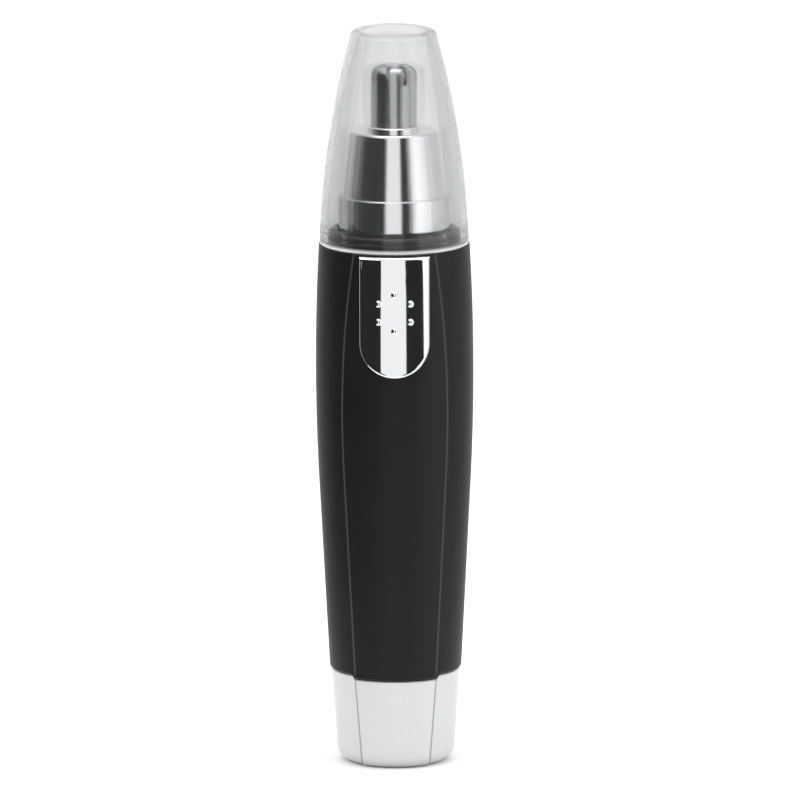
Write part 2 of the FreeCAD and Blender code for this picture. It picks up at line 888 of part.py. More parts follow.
def motor_endcap():
    high = "motor_bottom_z + endcap_height - 0.02"
    solid = flatted("endcap_outside", "motor_radius - 0.1", "motor_flat - 0.1", "motor_bottom_z", high)
    inside = flatted(
        "endcap_inside", "motor_radius - 1.2", "motor_flat - 1.2", "motor_bottom_z + 1.2", f"{high} + 1"
    )
    slots = [
        block(
            f"endcap_slot_{side}",
            (f"{x} - 0.25", f"{x} + 0.25"),
            ("0 - 1.1", "1.1"),
            ("motor_bottom_z - 1", "motor_bottom_z + 2"),
        )
        for side, x in (("left", "0 - terminal_x"), ("right", "terminal_x"))
    ]
    return cut("motor_endcap", solid, inside, *slots)


def motor_bearing():
    low = "motor_top_z + boss_height - 4"
    high = "motor_top_z + boss_height - 0.42"
    corners = ring_corners("shaft_radius + shaft_gap", "bearing_radius - 0.01", low, high)
    return revolved("motor_bearing", corners)


def motor_magnets():
    high = "magnet_bottom_z + magnet_height"
    ring = revolved(
        "magnet_ring", ring_corners("magnet_bore_radius", "magnet_radius", "magnet_bottom_z", high)
    )
    sides = []
    for side, span in (("left", ("0 - 20", "0")), ("right", ("0", "20"))):
        keep = block(f"magnet_keep_{side}", span, ("0 - 5", "5"), ("magnet_bottom_z - 1", f"{high} + 1"))
        sides.append(common(f"magnet_{side}", ring, keep))
    return group("motor_magnets", *sides)


def motor_brushes():
    """Two brushes that bear on the commutator, each on a spring arm that runs to its terminal."""
    brushes = []
    for side, sign in (("left", -1), ("right", 1)):
        inner = "commutator_radius + 0.05"
        outer = "terminal_x - 0.15"
        span = (inner, outer) if sign > 0 else (f"0 - ({outer})", f"0 - ({inner})")
        brushes.append(block(f"brush_{side}", span, ("0 - 0.6", "0.6"), ("70.2", "71.6")))
    return group("motor_brushes", *brushes)


def motor_terminals():
    tabs = []
    for side, x in (("left", "0 - terminal_x"), ("right", "terminal_x")):
        span = (f"{x} - 0.15", f"{x} + 0.15")
        rise = ("terminal_bottom_z", "motor_bottom_z + 5.4")
        tabs.append(block(f"terminal_{side}", span, ("0 - 1", "1"), rise))
    return group("motor_terminals", *tabs)


def negative_strip():
    """Brass strip from the base cap's leg up past the battery to the switch, with a pad at its top."""
    far = "0 - strip_near - strip_thickness"
    runner = extruded(
        "negative_runner",
        "XZ_Plane",
        [
            ("0 - strip_outer", "leg_top_z + 0.1"),
            ("0 - strip_outer + strip_width", "leg_top_z + 0.1"),
            ("0 - strip_outer + strip_width", "pad_bottom_z"),
            ("0 - strip_inner", "pad_bottom_z"),
            ("0 - strip_inner", "pad_top_z"),
            ("0 - strip_outer", "pad_top_z"),
        ],
        "strip_near",
        "strip_near + strip_thickness",
    )
    foot = block(
        "negative_foot",
        ("0 - strip_outer", "leg_width / 2"),
        (far, "0 - leg_near"),
        ("leg_top_z + 0.1", "leg_top_z + 0.1 + strip_thickness"),
    )
    return fuse("negative_strip", runner, foot)


def motor_strip():
    """Brass strip from the switch down to the lead that joins the motor."""
    return block(
        "motor_strip",
        ("strip_inner", "strip_outer"),
        ("0 - strip_near - strip_thickness", "0 - strip_near"),
        ("terminal_bottom_z - 1", "pad_top_z - 2"),
    )


def positive_contact():
    """Plate that the battery's plus end presses on, with a tab up to the motor's terminal."""
    top = "cradle_bottom_z - 0.08"
    plate = cylinder("positive_plate", "5.2", "cradle_bottom_z - 0.5", top)
    pip = cylinder("positive_pip", "1.6", "battery_z + battery_length + 0.03", top)
    reach = block(
        "positive_reach",
        ("0 - terminal_x - 0.2", "0 - terminal_x + 1.2"),
        ("0 - 1.2", "1.2"),
        ("cradle_bottom_z - 0.5", top),
    )
    tab = block(
        "positive_tab",
        ("0 - terminal_x - 0.2", "0 - terminal_x + 0.2"),
        ("0 - 1.2", "1.2"),
        ("cradle_bottom_z - 0.5", "terminal_bottom_z - 0.05"),
    )
    return fuse("positive_contact", plate, pip, reach, tab)


def motor_lead():
    """Short insulated lead inside the cradle, from the motor's right terminal to the motor strip."""
    level = number("terminal_bottom_z") + 0.1
    start = Vector(number("terminal_x + lead_radius + 0.2"), 0, level)
    bend = Vector(start.x, -5, level)
    finish = Vector(number("(strip_inner + strip_outer) / 2"), -number("strip_near") + 0.3, level)
    straight_run = Part.LineSegment(start, bend).toShape()
    middle = bend * 0.5 + finish * 0.5 + Vector(0.45, -0.35, 0)
    curved_run = Part.Arc(bend, middle, finish).toShape()
    circle = Part.Wire(Part.Circle(start, Vector(0, 1, 0), number("lead_radius")).toShape())
    lead = doc.addObject("Part::Feature", "motor_lead")
    lead.Shape = Part.Wire([straight_run, curved_run]).makePipeShell([circle], True, False)
    return lead


# ---- Thumb switch ----


def switch_button():
    """Chromed thumb plate, curved like the handle's panel, with six grip bumps and a stem."""
    inner = "panel_rise + thumb_gap"
    outer = "panel_rise + thumb_gap + thumb_thickness"
    low, high = "thumb_bottom_z - 1", "thumb_top_z + 0.5"
    middle = f"(({high}) + ({low})) / 2"
    wall = revolved(
        "thumb_wall",
        [
            (curved("barrel", low) + f" + {inner}", low),
            (curved("barrel", low) + f" + {outer}", low),
            ("via", curved("barrel", middle) + f" + {outer}", middle),
            (curved("barrel", high) + f" + {outer}", high),
            (curved("barrel", high) + f" + {inner}", high),
            ("via", curved("barrel", middle) + f" + {inner}", middle),
        ],
    )
    prism = extruded(
        "thumb_prism",
        "XZ_Plane",
        [
            ("thumb_half", "thumb_top_z"),
            ("0 - thumb_half", "thumb_top_z"),
            ("0 - thumb_half", "thumb_bottom_z + thumb_half"),
            ("via", "0", "thumb_bottom_z"),
            ("thumb_half", "thumb_bottom_z + thumb_half"),
        ],
        "5",
        "20",
    )
    plate = common("thumb_plate", wall, prism)
    doc.recompute()
    outer_edges = []
    for index, edge in enumerate(plate.Shape.Edges, 1):
        probe = edge.valueAt((edge.FirstParameter + edge.LastParameter) / 2)
        face_radius = number(curved("barrel", str(round(probe.z, 6))) + f" + {outer}")
        if abs(math.hypot(probe.x, probe.y) - face_radius) < 0.02:
            outer_edges.append((index, number("thumb_edge"), number("thumb_edge")))
    rounded = doc.addObject("Part::Fillet", "thumb_plate_rounded")
    rounded.Base = plate
    rounded.Edges = outer_edges
    stem = block(
        "thumb_stem",
        ("0 - stem_half", "stem_half"),
        ("0 - barrel_half - panel_rise - thumb_gap - 0.2", "0 - carrier_far"),
        ("stem_bottom_z", "stem_bottom_z + stem_height"),
    )
    return fuse("switch_button", rounded, stem, *thumb_bumps(outer))


def thumb_bumps(outer):
    """Six low domes in a regular hexagon on the thumb plate."""
    bumps = []
    for turn in range(6):
        angle = math.radians(60 * turn + 30)
        across = f"bump_ring * {math.cos(angle):.6f}"
        height = f"bump_ring_z + bump_ring * {math.sin(angle):.6f}"
        radius = "(" + curved("barrel", height) + f" + {outer} + bump_height - bump_radius)"
        place = (across, f"0 - sqrt({radius}^2 - ({across})^2)", height)
        bumps.append(primitive("Sphere", f"thumb_bump_{turn}", place, Radius="bump_radius"))
    return bumps


def switch_carrier():
    """Slider behind the shell that the thumb plate's stem drives."""
    solid = block(
        "carrier_block",
        ("0 - carrier_half", "carrier_half"),
        ("0 - carrier_far", "0 - carrier_near"),
        ("carrier_bottom_z", "carrier_top_z"),
    )
    inside = cylinder("carrier_limit", "carrier_far + 0.25", "carrier_bottom_z - 1", "carrier_top_z + 1")
    return common("switch_carrier", solid, inside)


def switch_bridge():
    """Brass leaf on the slider with two fingers, which joins the two strips when the switch is up."""
    near, far = "0 - carrier_near + 0.02", "0 - strip_near - strip_thickness - 0.06"
    back = block("bridge_back", ("0 - 2.2", "2.2"), (f"{near} - 0.02", far), ("77", "80"))
    fingers = [
        block(f"bridge_finger_{side}", span, (f"{near} - 0.02", far), ("79", "83.6"))
        for side, span in (("left", ("0 - 2.2", "0 - 0.9")), ("right", ("0.9", "2.2")))
    ]
    return fuse("switch_bridge", back, *fingers)


# ---- Head ----


def head_washer():
    low = "collar_top_z + 0.04"
    inner = "ring_bore_radius + 0.1"
    return revolved("head_washer", ring_corners(inner, "washer_radius", low, f"{low} + washer_thickness"))


def head_ring():
    """Chromed grip ring, whose three helical grooves run on the neck's studs."""
    edge = f"ring_edge * {1 - math.sqrt(0.5)}"
    body = revolved(
        "head_ring",
        [
            ("ring_bore_radius", "ring_bottom_z"),
            ("ring_radius - 0.15", "ring_bottom_z"),
            ("ring_radius", "ring_bottom_z + 0.15"),
            ("ring_radius", "ring_top_z - ring_edge"),
            ("via", f"ring_radius - {edge}", f"ring_top_z - {edge}"),
            ("ring_radius - ring_edge", "ring_top_z"),
            ("cone_foot_radius + seat_gap", "ring_top_z"),
            ("cone_foot_radius + seat_gap", "ring_top_z - seat_depth"),
            ("ring_bore_radius", "ring_top_z - seat_depth"),
        ],
    )
    doc.recompute()
    low = "stud_z - groove_drop - groove_half"
    corners = ring_corners("neck_radius", "groove_radius", low, f"{low} + 2 * groove_half")
    section = outline(body, "XZ_Plane", "groove_section", corners)
    axis = (section, ["V_Axis"])
    groove = feature(body, "SubtractiveHelix", "groove", section, ReferenceAxis=axis, Mode=0)
    bind(groove, Pitch="groove_lead", Height="groove_drop + groove_over")
    repeated(body, "grooves", groove, 3)
    return body


def head_cone():
    """Chromed cone with a lip round the cutter tube."""
    low = "ring_top_z - seat_depth + 0.03"
    corner = f"cone_corner * {1 - math.sqrt(0.5)}"
    roof = "cone_top_z - cone_roof"
    return revolved(
        "head_cone",
        [
            ("cone_foot_radius - cone_wall", low),
            ("cone_foot_radius", low),
            ("cone_foot_radius", "ring_top_z"),
            ("cone_top_radius", "cone_top_z - cone_corner"),
            ("via", f"cone_top_radius - {corner}", f"cone_top_z - {corner}"),
            ("cone_top_radius - cone_corner", "cone_top_z"),
            ("lip_radius", "cone_top_z"),
            ("lip_radius", "cone_top_z + lip_height - 0.2"),
            ("lip_radius - 0.2", "cone_top_z + lip_height"),
            ("tube_radius + tube_fit", "cone_top_z + lip_height"),
            ("tube_radius + tube_fit", roof),
            ("cone_top_radius - cone_wall", roof),
            ("cone_foot_radius - cone_wall", "ring_top_z"),
        ],
    )


def outer_cutter():
    """Stainless cutter tube with a domed, slotted end and a flange under the cone's roof."""
    bend = 1 - math.sqrt(0.5)
    low = "cone_top_z - cone_roof - 0.03 - tube_flange_thickness"
    inner = "tube_radius - tube_wall"
    body = revolved(
        "outer_cutter",
        [
            (inner, low),
            ("tube_flange_radius", low),
            ("tube_flange_radius", f"{low} + tube_flange_thickness"),
            ("tube_radius", f"{low} + tube_flange_thickness"),
            ("tube_radius", "tube_top_z - tube_dome"),
            ("via", f"tube_radius - tube_dome * {bend}", f"tube_top_z - tube_dome * {bend}"),
            ("tube_radius - tube_dome", "tube_top_z"),
            ("0", "tube_top_z"),
            ("0", "tube_top_z - tube_wall"),
            ("tube_radius - tube_dome", "tube_top_z - tube_wall"),
            (
                "via",
                f"{inner} - (tube_dome - tube_wall) * {bend}",
                f"tube_top_z - tube_wall - (tube_dome - tube_wall) * {bend}",
            ),
            (inner, "tube_top_z - tube_dome"),
        ],
    )
    doc.recompute()
    foot = "tube_top_z - slit_depth"
    slit = outline(
        body,
        "YZ_Plane",
        "slit_outline",
        [
            ("slit_half", f"{foot} + slit_half"),
            ("slit_half", "tube_top_z + 1"),
            ("0 - slit_half", "tube_top_z + 1"),
            ("0 - slit_half", f"{foot} + slit_half"),
            ("via", "0", foot),
        ],
        "slit_start",
    )
    pocket = bind(feature(body, "Pocket", "slit", slit, Reversed=True), Length="tube_radius")
    repeated(body, "slits", pocket, int(number("slit_count")))
    return turned(body, number("slit_turn") - 90)


def cutter_bush():
    """Plastic bush that holds the cutter tube's flange up against the cone's roof."""
    high = "cone_top_z - cone_roof - 0.05 - tube_flange_thickness"
    low = f"{high} - bush_height"
    return revolved(
        "cutter_bush",
        [
            ("bush_bore_radius", low),
            ("cone_top_radius - cone_wall", low),
            ("cone_top_radius - cone_wall - 0.05", high),
            ("bush_bore_radius", high),
        ],
    )


# ---- Rotor: all that the motor turns ----


def inner_blade():
    """Stainless blade on a hub: two wings that sweep the inside of the slotted dome."""
    reach = "tube_radius - tube_wall - blade_gap"
    top = "tube_top_z - tube_wall - blade_gap"
    round_off = "tube_dome - tube_wall - blade_gap"
    bend = 1 - math.sqrt(0.5)
    right = [
        (f"{reach} - 0.9", "blade_bottom_z"),
        (reach, "blade_bottom_z + 2.5"),
        (reach, f"{top} - ({round_off})"),
        ("via", f"{reach} - ({round_off}) * {bend}", f"{top} - ({round_off}) * {bend}"),
        (f"{reach} - ({round_off})", top),
    ]
    wings = []
    for turn in range(2):
        wing = extruded(
            f"blade_wing_{turn}",
            "XZ_Plane",
            right + mirrored(right),
            "0 - blade_half_thickness",
            "blade_half_thickness",
        )
        wings.append(turned(wing, 90 * turn))
    hub = cylinder("blade_hub", "blade_hub_radius", "blade_bottom_z", "rod_top_z + 1")
    bore = cylinder("blade_bore", "rod_radius + 0.02", "blade_bottom_z - 1", "rod_top_z + 0.05")
    return cut("inner_blade", fuse("blade_solid", *wings, hub), bore)


def blade_shaft():
    """Plastic shaft that carries the blade, with a square socket that the drive coupling turns."""
    solid = revolved(
        "blade_shaft_form",
        [
            ("0", "carrier_sleeve_bottom_z"),
            ("carrier_sleeve_radius", "carrier_sleeve_bottom_z"),
            ("carrier_sleeve_radius", "carrier_sleeve_top_z - 1"),
            ("spring_seat_radius", "carrier_sleeve_top_z - 1"),
            ("spring_seat_radius", "carrier_sleeve_top_z"),
            ("rod_radius + 0.6", "carrier_sleeve_top_z + 0.8"),
            ("rod_radius + 0.6", "blade_bottom_z - 0.1"),
            ("rod_radius", "blade_bottom_z - 0.1"),
            ("rod_radius", "rod_top_z"),
            ("0", "rod_top_z"),
        ],
    )
    side = "dog_half + dog_gap"
    socket = block(
        "blade_shaft_socket",
        (f"0 - ({side})", side),
        (f"0 - ({side})", side),
        ("carrier_sleeve_bottom_z - 1", "dog_top_z + 0.4"),
    )
    return cut("blade_shaft", solid, socket)


def drive_coupling():
    """Plastic coupling on the motor's shaft, with a flange for the blade spring and a square dog."""
    drum = revolved(
        "coupling_form",
        [
            ("0", "coupling_bottom_z"),
            ("spring_seat_radius", "coupling_bottom_z"),
            ("spring_seat_radius", "coupling_bottom_z + 0.8"),
            ("coupling_radius", "coupling_bottom_z + 0.8"),
            ("coupling_radius", "coupling_shoulder_z"),
            ("0", "coupling_shoulder_z"),
        ],
    )
    dog = block(
        "coupling_dog", ("0 - dog_half", "dog_half"), ("0 - dog_half", "dog_half"), ("99", "dog_top_z")
    )
    bore = cylinder("coupling_bore", "shaft_radius + 0.01", "coupling_bottom_z - 1", "shaft_top_z + 0.1")
    return cut("drive_coupling", fuse("coupling_solid", drum, dog), bore)


def blade_spring():
    low = "coupling_bottom_z + 0.8 + blade_spring_wire + 0.03"
    rise = "carrier_sleeve_bottom_z - coupling_bottom_z - 0.8 - 2 * blade_spring_wire - 0.1"
    return coil("blade_spring", "blade_spring_radius", "blade_spring_wire", low, rise, "1.2")


def armature_core():
    """Three-pole laminated core on the motor's shaft."""
    high = "core_bottom_z + core_height"
    ring = revolved("core_ring", ring_corners("shaft_radius + 0.01", "core_radius", "core_bottom_z", high))
    right = [("0.7", "9"), ("0.7", "5.6"), ("2.6", "4.9"), ("3.6", "3.6"), ("1.7", "2.6")]
    corners = right + mirrored(right)
    notches = []
    for turn in range(3):
        span = ("core_bottom_z - 1", f"{high} + 1")
        notches.append(turned(extruded(f"core_notch_{turn}", "XY_Plane", corners, *span), 120 * turn))
    return cut("armature_core", ring, *notches)


def armature_windings():
    """Copper coils that fill the core's three notches and stand out past its ends."""
    low = "core_bottom_z - winding_overhang"
    high = "core_bottom_z + core_height + winding_overhang"
    right = [("0.4", "5.4"), ("2.5", "4.7"), ("3.4", "3.6"), ("1.6", "2.72")]
    corners = right + mirrored(right)
    coils = []
    for turn in range(3):
        lump = extruded(f"winding_{turn}", "XY_Plane", corners, low, high)
        coils.append(turned(lump, 120 * turn))
    return group("armature_windings", *coils)


def commutator():
    high = "commutator_bottom_z + commutator_height"
    return revolved(
        "commutator",
        [
            ("shaft_radius + 0.01", "commutator_bottom_z"),
            ("commutator_radius", "commutator_bottom_z"),
            ("commutator_radius", f"{high} - 0.6"),
            ("commutator_radius + 0.7", f"{high} - 0.6"),
            ("commutator_radius + 0.7", high),
            ("shaft_radius + 0.01", high),
        ],
    )


def motor_shaft():
    return cylinder("motor_shaft", "shaft_radius", "shaft_bottom_z", "shaft_top_z")


# ---- Dust cap ----


def dust_cap():
    """Clear cap: a tapered shell whose rim pushes over the neck's collar."""
    wall = "dust_wall"
    rim = "shoulder_z + dust_seat_gap"
    corner = ("(dust_brow_radius + dust_flat_radius) / 2 + 0.28", "(dust_brow_z + dust_top_z) / 2 + 0.26")
    return revolved(
        "dust_cap",
        [
            ("dust_bore_radius", rim),
            ("dust_rim_radius - 0.15", rim),
            ("dust_rim_radius", f"{rim} + 0.15"),
            ("via", "dust_waist_radius", "dust_waist_z"),
            ("dust_brow_radius", "dust_brow_z"),
            ("via", *corner),
            ("dust_flat_radius", "dust_top_z"),
            ("0", "dust_top_z"),
            ("0", f"dust_top_z - {wall}"),
            ("dust_flat_radius - 0.6", f"dust_top_z - {wall}"),
            ("dust_brow_radius - 1.35", f"dust_brow_z - {wall}"),
            ("via", f"dust_waist_radius - {wall}", "dust_waist_z"),
            ("dust_bore_radius", "dust_bore_top_z"),
        ],
    )


# ---- Build, check and write ----


def build():
    """Every sub-part, in the order that the trimmer goes together."""
    return [
        base_cap(),
        base_plug(),
        spring_plate(),
        battery_spring(),
        o_ring("base_o_ring", "base_ring_radius", "base_ring_wire", "base_ring_z"),
        battery_can(),
        battery_core(),
        battery_jacket(),
        battery_seal(),
        battery_button(),
        body_shell(),
        neck_collar(),
        o_ring("cap_o_ring", "cap_ring_radius", "cap_ring_wire", "cap_ring_z"),
        neck_screws(),
        motor_cradle(),
        battery_sleeve(),
        motor_can(),
        motor_endcap(),
        motor_bearing(),
        motor_magnets(),
        motor_brushes(),
        motor_terminals(),
        negative_strip(),
        motor_strip(),
        positive_contact(),
        motor_lead(),
        switch_button(),
        switch_carrier(),
        switch_bridge(),
        head_washer(),
        head_ring(),
        head_cone(),
        outer_cutter(),
        cutter_bush(),
        inner_blade(),
        blade_shaft(),
        drive_coupling(),
        blade_spring(),
        armature_core(),
        armature_windings(),
        commutator(),
        motor_shaft(),
        dust_cap(),
    ]


def check(subparts):
    """Stops if any object failed to build, or any sub-part isn't valid solids."""
    for made in doc.Objects:
        if "Invalid" in made.State or "Error" in made.State:
            raise RuntimeError(f"{made.Label} did not build: {made.State}")
    for subpart in subparts:
        shape = subpart.Shape
        if shape.isNull() or not shape.isValid() or not shape.Solids:
            raise RuntimeError(f"{subpart.Label} has no valid solid")


SUBPARTS = build()
doc.recompute()
check(SUBPARTS)
os.makedirs("parts", exist_ok=True)
for subpart in SUBPARTS:
    subpart.Shape.exportStep(f"parts/{subpart.Label}.step")
    print(f"{subpart.Label}: {len(subpart.Shape.Solids)} solid(s), {subpart.Shape.Volume:.1f} mm3")
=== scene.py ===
import json
import math

import bpy
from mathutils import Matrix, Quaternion, Vector


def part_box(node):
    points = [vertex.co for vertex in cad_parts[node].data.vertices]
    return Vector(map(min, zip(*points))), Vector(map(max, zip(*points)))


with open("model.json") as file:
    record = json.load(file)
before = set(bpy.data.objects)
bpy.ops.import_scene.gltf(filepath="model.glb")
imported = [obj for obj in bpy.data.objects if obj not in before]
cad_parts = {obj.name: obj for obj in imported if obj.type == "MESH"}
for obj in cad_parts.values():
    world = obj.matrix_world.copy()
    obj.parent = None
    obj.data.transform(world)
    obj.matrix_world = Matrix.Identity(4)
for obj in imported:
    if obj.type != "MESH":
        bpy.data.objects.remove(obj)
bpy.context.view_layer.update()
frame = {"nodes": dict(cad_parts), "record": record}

# ---- Node helpers ----

# A colour mix node's sockets, by their place among its inputs and outputs.
MIX_FIRST = 6
MIX_SECOND = 7
MIX_RESULT = 2


def new_material(name):
    """An empty node material with a Principled shader wired to its output."""
    material = bpy.data.materials.new(name)
    material.use_nodes = True
    tree = material.node_tree
    tree.nodes.clear()
    shader = tree.nodes.new("ShaderNodeBsdfPrincipled")
    output = tree.nodes.new("ShaderNodeOutputMaterial")
    tree.links.new(shader.outputs["BSDF"], output.inputs["Surface"])
    return material, tree, shader


def object_point(tree, stretch=(1, 1, 1)):
    """The surface point in the part's own frame, in metres, stretched along its axes."""
    coordinates = tree.nodes.new("ShaderNodeTexCoord")
    mapping = tree.nodes.new("ShaderNodeMapping")
    mapping.inputs["Scale"].default_value = stretch
    tree.links.new(coordinates.outputs["Object"], mapping.inputs["Vector"])
    return mapping.outputs["Vector"]


def noise(tree, point, scale, detail=2.0, roughness=0.5):
    """Smooth noise from about 0.3 to 0.7, with the scale in waves per metre."""
    texture = tree.nodes.new("ShaderNodeTexNoise")
    texture.inputs["Scale"].default_value = scale
    texture.inputs["Detail"].default_value = detail
    texture.inputs["Roughness"].default_value = roughness
    tree.links.new(point, texture.inputs["Vector"])
    return texture.outputs["Fac"]


def remap(tree, value, low, high, source=(0.3, 0.7)):
    """The value's source range spread over low to high."""
    node = tree.nodes.new("ShaderNodeMapRange")
    node.inputs["From Min"].default_value = source[0]
    node.inputs["From Max"].default_value = source[1]
    node.inputs["To Min"].default_value = low
    node.inputs["To Max"].default_value = high
    tree.links.new(value, node.inputs["Value"])
    return node.outputs["Result"]


def colour_mix(tree, factor, second):
    """A mix node whose second colour is set, and whose first is still open."""
    node = tree.nodes.new("ShaderNodeMix")
    node.data_type = "RGBA"
    tree.links.new(factor, node.inputs["Factor"])
    node.inputs[MIX_SECOND].default_value = (*second, 1)
    return node


def blend_colours(tree, factor, first, second):
    """The first colour where the factor is 0, and the second where it is 1."""
    node = colour_mix(tree, factor, second)
    node.inputs[MIX_FIRST].default_value = (*first, 1)
    return node.outputs[MIX_RESULT]


def arithmetic(tree, operation, first, second=0.0):
    """A sum of one kind on a socket and a second socket or number."""
    node = tree.nodes.new("ShaderNodeMath")
    node.operation = operation
    tree.links.new(first, node.inputs[0])
    if isinstance(second, float):
        node.inputs[1].default_value = second
    else:
        tree.links.new(second, node.inputs[1])
    return node.outputs["Value"]


def overlay(tree, factor, colour, top):
    """The colour socket covered by a top colour where the factor is 1."""
    node = colour_mix(tree, factor, top)
    tree.links.new(colour, node.inputs[MIX_FIRST])
    return node.outputs[MIX_RESULT]


def bump(tree, shader, height, distance):
    """Raises the surface by the height times a distance in metres."""
    node = tree.nodes.new("ShaderNodeBump")
    node.inputs["Strength"].default_value = 1.0
    node.inputs["Distance"].default_value = distance
    tree.links.new(height, node.inputs["Height"])
    tree.links.new(node.outputs["Normal"], shader.inputs["Normal"])


def settings(shader, **values):
    """Sets the shader's inputs, named with underscores for spaces."""
    for name, value in values.items():
        shader.inputs[name.replace("_", " ")].default_value = value


# ---- Materials ----

# The height of the frosted band along the dust cap's rim.
FROST_HEIGHT = 0.00045

# The raised panels' outline: straight from the foot to the seam, straight again up to PANEL_STRAIGHT, and
# then an arc of radius PANEL_ARC that is widest at PANEL_PEAK.
SEAM_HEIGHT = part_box("base_cap")[1].z
PANEL_FOOT_HALF = 0.0061
PANEL_SEAM_HALF = 0.00741
PANEL_STRAIGHT = 0.056
PANEL_STRAIGHT_HALF = 0.00935
PANEL_PEAK = 0.066
PANEL_ARC = 0.200
# The width of the painted highlight lines on the handle and the painted shade lines on the base, along
# the panels' edges.
LINE_WIDTH = 0.0002


def moulded(name, dark, light, roughness, depth):
    """Moulded plastic: a fine grain, a slow change of gloss and a slight change of colour."""
    material, tree, shader = new_material(name)
    point = object_point(tree)
    slow = noise(tree, point, 120.0, 3.0)
    fine = noise(tree, point, 2600.0, 2.0, 0.6)
    tree.links.new(blend_colours(tree, slow, dark, light), shader.inputs["Base Color"])
    tree.links.new(remap(tree, slow, *roughness), shader.inputs["Roughness"])
    bump(tree, shader, fine, depth)
    return material


def metal(name, dark, light, roughness, stretch, grain):
    """Bare or plated metal: tool marks drawn out along the stretch, with slow smears in its gloss."""
    material, tree, shader = new_material(name)
    marks = noise(tree, object_point(tree, stretch), grain, 3.0, 0.6)
    slow = noise(tree, object_point(tree), 90.0, 3.0)
    tree.links.new(blend_colours(tree, slow, dark, light), shader.inputs["Base Color"])
    tree.links.new(remap(tree, slow, *roughness), shader.inputs["Roughness"])
    settings(shader, Metallic=1.0)
    bump(tree, shader, marks, 0.000002)
    return material


def line_beside(tree, point, half_width):
    """1 along the lines at a half-width to each side of the part's centre plane, and 0 elsewhere."""
    parts = tree.nodes.new("ShaderNodeSeparateXYZ")
    tree.links.new(point, parts.inputs["Vector"])
    across = arithmetic(tree, "ABSOLUTE", parts.outputs["X"])
    edge = half_width(parts.outputs["Z"])
    gap = arithmetic(tree, "ABSOLUTE", arithmetic(tree, "SUBTRACT", across, edge))
    return remap(tree, gap, 1.0, 0.0, (0.3 * LINE_WIDTH, LINE_WIDTH))


def handle_plastic():
    """Satin black plastic with a fine grain, and a painted highlight along the edges of its raised
    panels, where they would catch the light.
    """
    material, tree, shader = new_material("handle_plastic")
    point = object_point(tree)

    def panel_half(height):
        low = arithmetic(tree, "MINIMUM", height, PANEL_STRAIGHT)
        source = (SEAM_HEIGHT, PANEL_STRAIGHT)
        slanted = remap(tree, low, PANEL_SEAM_HALF, PANEL_STRAIGHT_HALF, source)
        high = arithmetic(tree, "MAXIMUM", height, PANEL_STRAIGHT)
        drop = arithmetic(tree, "SUBTRACT", high, PANEL_PEAK)
        square = arithmetic(tree, "MULTIPLY", drop, drop)
        sagitta = arithmetic(tree, "MULTIPLY", square, 0.5 / PANEL_ARC)
        start = 0.5 * (PANEL_PEAK - PANEL_STRAIGHT) ** 2 / PANEL_ARC
        return arithmetic(tree, "SUBTRACT", slanted, arithmetic(tree, "SUBTRACT", sagitta, start))

    slow = noise(tree, point, 120.0, 3.0)
    colour = blend_colours(tree, slow, (0.005, 0.005, 0.0051), (0.007, 0.007, 0.0071))
    # Painted highlight: a paler line along the raised panels' edges, standing in for light caught by
    # their rounded edges.
    painted_edge_highlight = overlay(tree, line_beside(tree, point, panel_half), colour, (0.035, 0.035, 0.0355))
    tree.links.new(painted_edge_highlight, shader.inputs["Base Color"])
    tree.links.new(remap(tree, slow, 0.46, 0.52), shader.inputs["Roughness"])
    settings(shader, Specular_IOR_Level=0.22, Sheen_Weight=0.09, Sheen_Roughness=0.35)
    bump(tree, shader, noise(tree, point, 2600.0, 2.0, 0.6), 0.000012)
    return material


def clear_plastic():
    """Clear moulded plastic: slightly milky, with hairline scuffs, and frosted along its cut rim."""
    material, tree, shader = new_material("clear_plastic")
    scuffs = noise(tree, object_point(tree), 700.0, 3.0, 0.6)
    tree.links.new(remap(tree, scuffs, 0.0, 0.012, (0.4, 0.75)), shader.inputs["Roughness"])
    parts = tree.nodes.new("ShaderNodeSeparateXYZ")
    tree.links.new(object_point(tree), parts.inputs["Vector"])
    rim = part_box("dust_cap")[0].z
    fade = (rim + FROST_HEIGHT, rim + 1.5 * FROST_HEIGHT)
    clear = remap(tree, parts.outputs["Z"], 0.3, 0.985, fade)
    tree.links.new(clear, shader.inputs["Transmission Weight"])
    settings(shader, Base_Color=(0.92, 0.925, 0.925, 1), IOR=1.36, Alpha=0.72)
    bump(tree, shader, noise(tree, object_point(tree), 60.0), 0.000004)
    return material


def flaked_silver():
    """Silver lacquer: tiny flakes under a clear coat, with painted shade along the panels' edges, where
    the foot of the raised step lies in shadow.
    """
    material, tree, shader = new_material("flaked_silver")
    point = object_point(tree)
    flakes = tree.nodes.new("ShaderNodeTexVoronoi")
    flakes.inputs["Scale"].default_value = 9000.0
    tree.links.new(point, flakes.inputs["Vector"])
    tone = remap(tree, flakes.outputs["Distance"], 0.0, 1.0, (0.1, 0.7))
    colour = blend_colours(tree, tone, (0.63, 0.63, 0.632), (0.57, 0.57, 0.575))

    def panel_half(height):
        return remap(tree, height, PANEL_FOOT_HALF, PANEL_SEAM_HALF, (0.0, SEAM_HEIGHT))

    # Painted shade: a darker line along the panels' edges, standing in for the shadow at the foot of
    # their raised step.
    painted_groove_shade = overlay(tree, line_beside(tree, point, panel_half), colour, (0.27, 0.27, 0.272))
    tree.links.new(painted_groove_shade, shader.inputs["Base Color"])
    slow = noise(tree, point, 140.0, 3.0)
    tree.links.new(remap(tree, slow, 0.3, 0.38), shader.inputs["Roughness"])
    settings(shader, Metallic=0.45, Coat_Weight=0.4, Coat_Roughness=0.08)
    bump(tree, shader, flakes.outputs["Distance"], 0.000004)
    return material


